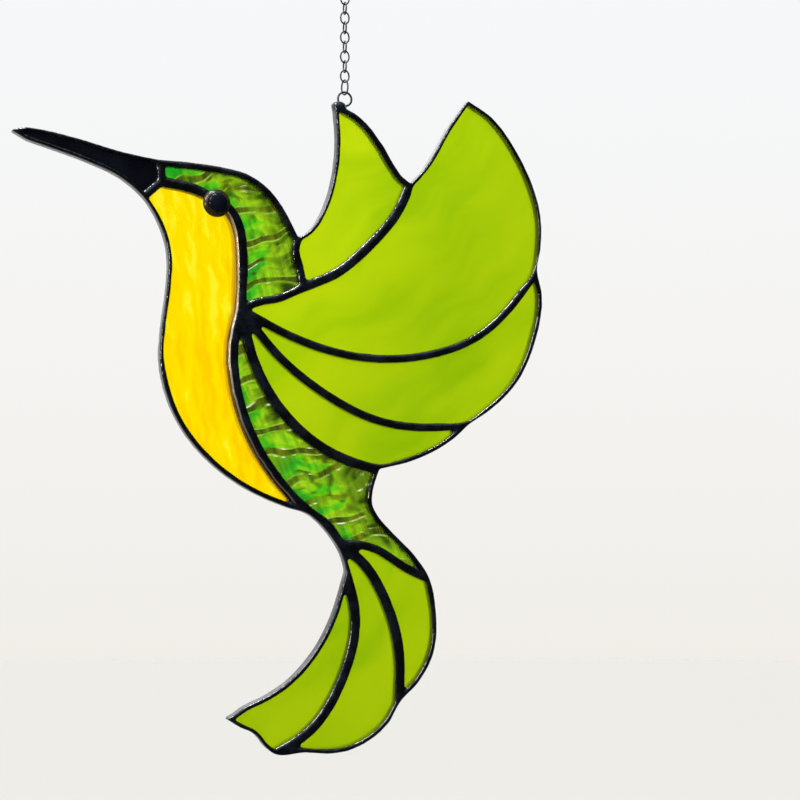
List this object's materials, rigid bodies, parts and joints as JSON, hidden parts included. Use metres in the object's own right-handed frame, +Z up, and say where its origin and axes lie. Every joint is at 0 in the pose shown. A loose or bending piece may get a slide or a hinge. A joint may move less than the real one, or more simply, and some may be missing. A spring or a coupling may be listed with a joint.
{
  "type": "stained glass suncatcher",
  "caption": "Copper foil stained glass hummingbird suncatcher with amber, green and lime glass, hanging on a small chain.",
  "frame": {"origin": "point at the top of the top ring's bore, where it bears on a hook", "axes": "+Z up along the hanging chain, -Y out of the front face, +X to the bird's tail side, so the beak points towards -X"},
  "size_m": [0.1981, 0.009, 0.2886],
  "materials": {
    "black_solder": "soldered copper foil with a glossy black patina",
    "dark_wire": "steel wire with a smooth black finish",
    "black_glass": "black opaque glass, glossy",
    "amber_glass": "amber yellow see-through glass with wavy streaks",
    "green_glass": "green see-through ripple glass with olive bands",
    "lime_glass": "lime opalescent glass, faintly streaked"
  },
  "bodies": {
    "root": {"solder_seams": "black_solder", "beak": "black_glass", "breast": "amber_glass", "head_nape": "green_glass", "back_body": "green_glass", "far_wing": "lime_glass", "wing_feather_upper": "lime_glass", "wing_feather_middle": "lime_glass", "wing_feather_lower": "lime_glass", "tail_feather_left": "lime_glass", "tail_feather_middle": "lime_glass", "tail_feather_right": "lime_glass", "eye": "black_glass", "hanging_ring": "dark_wire", "chain_link_01": "dark_wire", "chain_link_02": "dark_wire", "chain_link_03": "dark_wire", "chain_link_04": "dark_wire", "chain_link_05": "dark_wire", "chain_link_06": "dark_wire", "chain_link_07": "dark_wire", "chain_link_08": "dark_wire", "chain_link_09": "dark_wire", "chain_link_10": "dark_wire", "chain_link_11": "dark_wire", "top_ring": "dark_wire"}
  },
  "joints": []
}
